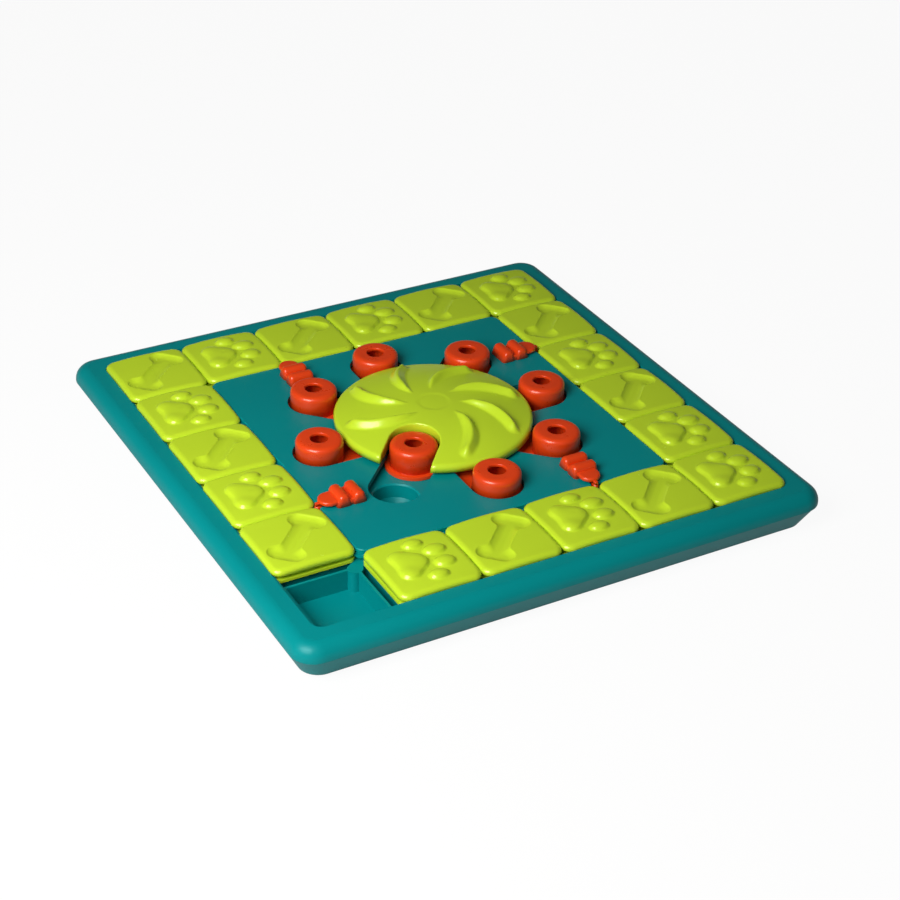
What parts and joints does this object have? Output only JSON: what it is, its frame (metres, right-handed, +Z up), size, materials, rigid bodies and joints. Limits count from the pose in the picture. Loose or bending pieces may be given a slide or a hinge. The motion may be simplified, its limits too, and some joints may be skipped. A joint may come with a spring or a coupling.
{
  "type": "dog puzzle feeder toy",
  "caption": "Square sliding treat puzzle for dogs: a ring of grooved tiles over pockets, with a centre plate of sliding pegs, a vaned wheel and finger locks.",
  "frame": {"origin": "centre of the board's footprint, on the surface that it stands on", "axes": "+X to the right along the front edge, +Y to the back along the left edge, +Z up"},
  "size_m": [0.4124, 0.4124, 0.0509],
  "materials": {
    "teal_plastic": "satin moulded plastic",
    "lime_plastic": "satin moulded plastic",
    "orange_plastic": "satin moulded plastic",
    "zinc_steel": "zinc-plated",
    "grey_rubber": "soft matt rubber"
  },
  "bodies": {
    "board": {"base_tray": "teal_plastic", "bezel_frame": "teal_plastic", "centre_plate": "teal_plastic", "frame_screws": "zinc_steel", "plate_screws": "zinc_steel", "rubber_feet": "grey_rubber", "tile_02_cap": "lime_plastic", "tile_02_foot": "lime_plastic", "tile_03_cap": "lime_plastic", "tile_03_foot": "lime_plastic", "tile_04_cap": "lime_plastic", "tile_04_foot": "lime_plastic", "tile_05_cap": "lime_plastic", "tile_05_foot": "lime_plastic", "tile_15_cap": "lime_plastic", "tile_15_foot": "lime_plastic", "tile_25_cap": "lime_plastic", "tile_25_foot": "lime_plastic", "tile_35_cap": "lime_plastic", "tile_35_foot": "lime_plastic", "tile_40_cap": "lime_plastic", "tile_40_foot": "lime_plastic", "tile_45_cap": "lime_plastic", "tile_45_foot": "lime_plastic", "tile_50_cap": "lime_plastic", "tile_50_foot": "lime_plastic", "tile_51_cap": "lime_plastic", "tile_51_foot": "lime_plastic", "tile_52_cap": "lime_plastic", "tile_52_foot": "lime_plastic", "tile_53_cap": "lime_plastic", "tile_53_foot": "lime_plastic", "tile_54_cap": "lime_plastic", "tile_54_foot": "lime_plastic", "tile_55_cap": "lime_plastic", "tile_55_foot": "lime_plastic"},
    "tile_01": {"tile_01_cap": "lime_plastic", "tile_01_foot": "lime_plastic"},
    "tile_10": {"tile_10_cap": "lime_plastic", "tile_10_foot": "lime_plastic"},
    "tile_20": {"tile_20_cap": "lime_plastic", "tile_20_foot": "lime_plastic"},
    "tile_30": {"tile_30_cap": "lime_plastic", "tile_30_foot": "lime_plastic"},
    "wheel": {"treat_wheel": "lime_plastic", "notch_guard": "lime_plastic", "wheel_spindle": "lime_plastic", "wheel_screw": "zinc_steel"},
    "peg_0_slider": {"peg_0": "orange_plastic"},
    "peg_1_slider": {"peg_1": "orange_plastic"},
    "peg_2_slider": {"peg_2": "orange_plastic"},
    "peg_3_slider": {"peg_3": "orange_plastic"},
    "peg_4_slider": {"peg_4": "orange_plastic"},
    "peg_5_slider": {"peg_5": "orange_plastic"},
    "peg_6_slider": {"peg_6": "orange_plastic"},
    "peg_7_slider": {"peg_7": "orange_plastic"},
    "lock_right_slider": {"lock_right": "orange_plastic"},
    "lock_back_slider": {"lock_back": "orange_plastic"},
    "lock_left_slider": {"lock_left": "orange_plastic"},
    "lock_front_slider": {"lock_front": "orange_plastic"}
  },
  "joints": [
    {"name": "tile_01_slide", "type": "slide", "parent": "board", "child": "tile_01", "axis": [0, 1, 0], "range_m": [-0.062, 0]},
    {"name": "tile_10_slide", "type": "slide", "parent": "board", "child": "tile_10", "axis": [-1, 0, 0], "range_m": [0, 0.062]},
    {"name": "tile_20_slide", "type": "slide", "parent": "board", "child": "tile_20", "axis": [-1, 0, 0], "range_m": [0, 0.062]},
    {"name": "tile_30_slide", "type": "slide", "parent": "board", "child": "tile_30", "axis": [-1, 0, 0], "range_m": [0, 0.062]},
    {"name": "wheel_turn", "type": "hinge", "parent": "board", "child": "wheel", "pos_m": [0, 0, 0.023], "axis": [0, 0, 1], "range_deg": [-0.8, 0.8]},
    {"name": "peg_0_slide", "type": "slide", "parent": "board", "child": "peg_0_slider", "axis": [1, 0, 0], "range_m": [-0.002, 0.0015]},
    {"name": "peg_1_slide", "type": "slide", "parent": "board", "child": "peg_1_slider", "axis": [0.7071, 0.7071, 0], "range_m": [-0.002, 0.0015]},
    {"name": "peg_2_slide", "type": "slide", "parent": "board", "child": "peg_2_slider", "axis": [0, 1, 0], "range_m": [-0.002, 0.0015]},
    {"name": "peg_3_slide", "type": "slide", "parent": "board", "child": "peg_3_slider", "axis": [-0.7071, 0.7071, 0], "range_m": [-0.002, 0.0015]},
    {"name": "peg_4_slide", "type": "slide", "parent": "board", "child": "peg_4_slider", "axis": [-1, 0, 0], "range_m": [-0.002, 0.0015]},
    {"name": "peg_5_slide", "type": "slide", "parent": "board", "child": "peg_5_slider", "axis": [-0.7071, -0.7071, 0], "range_m": [0, 0.04305]},
    {"name": "peg_6_slide", "type": "slide", "parent": "board", "child": "peg_6_slider", "axis": [0, -1, 0], "range_m": [-0.002, 0.0015]},
    {"name": "peg_7_slide", "type": "slide", "parent": "board", "child": "peg_7_slider", "axis": [0.7071, -0.7071, 0], "range_m": [-0.002, 0.0015]},
    {"name": "lock_right_slide", "type": "slide", "parent": "board", "child": "lock_right_slider", "axis": [-1, 0, 0], "range_m": [0, 0.005]},
    {"name": "lock_back_slide", "type": "slide", "parent": "board", "child": "lock_back_slider", "axis": [0, -1, 0], "range_m": [0, 0.005]},
    {"name": "lock_left_slide", "type": "slide", "parent": "board", "child": "lock_left_slider", "axis": [1, 0, 0], "range_m": [0, 0.005]},
    {"name": "lock_front_slide", "type": "slide", "parent": "board", "child": "lock_front_slider", "axis": [0, 1, 0], "range_m": [0, 0.005]}
  ],
  "couplings": [
    {"joint": "tile_20_slide", "follows": "tile_10_slide", "ratio": 1},
    {"joint": "tile_30_slide", "follows": "tile_10_slide", "ratio": 1}
  ]
}
